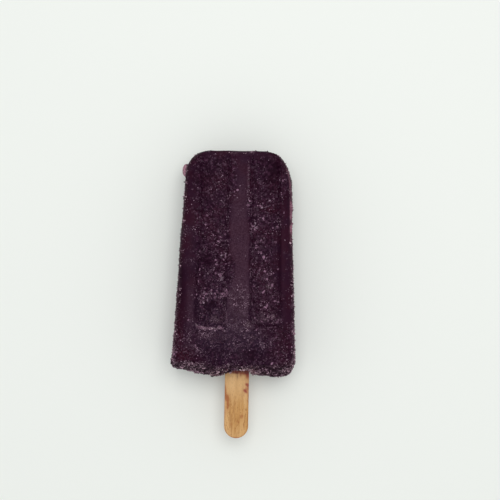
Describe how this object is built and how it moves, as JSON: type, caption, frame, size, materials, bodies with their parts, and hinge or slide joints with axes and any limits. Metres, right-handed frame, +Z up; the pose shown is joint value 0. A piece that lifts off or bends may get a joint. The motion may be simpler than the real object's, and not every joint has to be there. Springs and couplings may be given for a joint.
{
  "type": "ice lolly",
  "caption": "Tapered block of dark fruit ice with two channels in each broad face, frozen onto a flat wooden stick with a round end.",
  "frame": {"origin": "middle of the footprint, on the surface that the lolly lies on", "axes": "+Y along the lolly towards the tip, the stick points along -Y; +Z up, out of the shown broad face; +X to the right"},
  "size_m": [0.0512, 0.1194, 0.0262],
  "materials": {
    "fruit_ice": "dark purple frozen fruit juice, grainy with pale ice crystals, frosted on the ribs, rims and round the stick",
    "birch_wood": "bare sanded pale wood with grain along the stick and a few juice stains"
  },
  "bodies": {
    "root": {"ice_block": "fruit_ice", "stick": "birch_wood"}
  },
  "joints": []
}
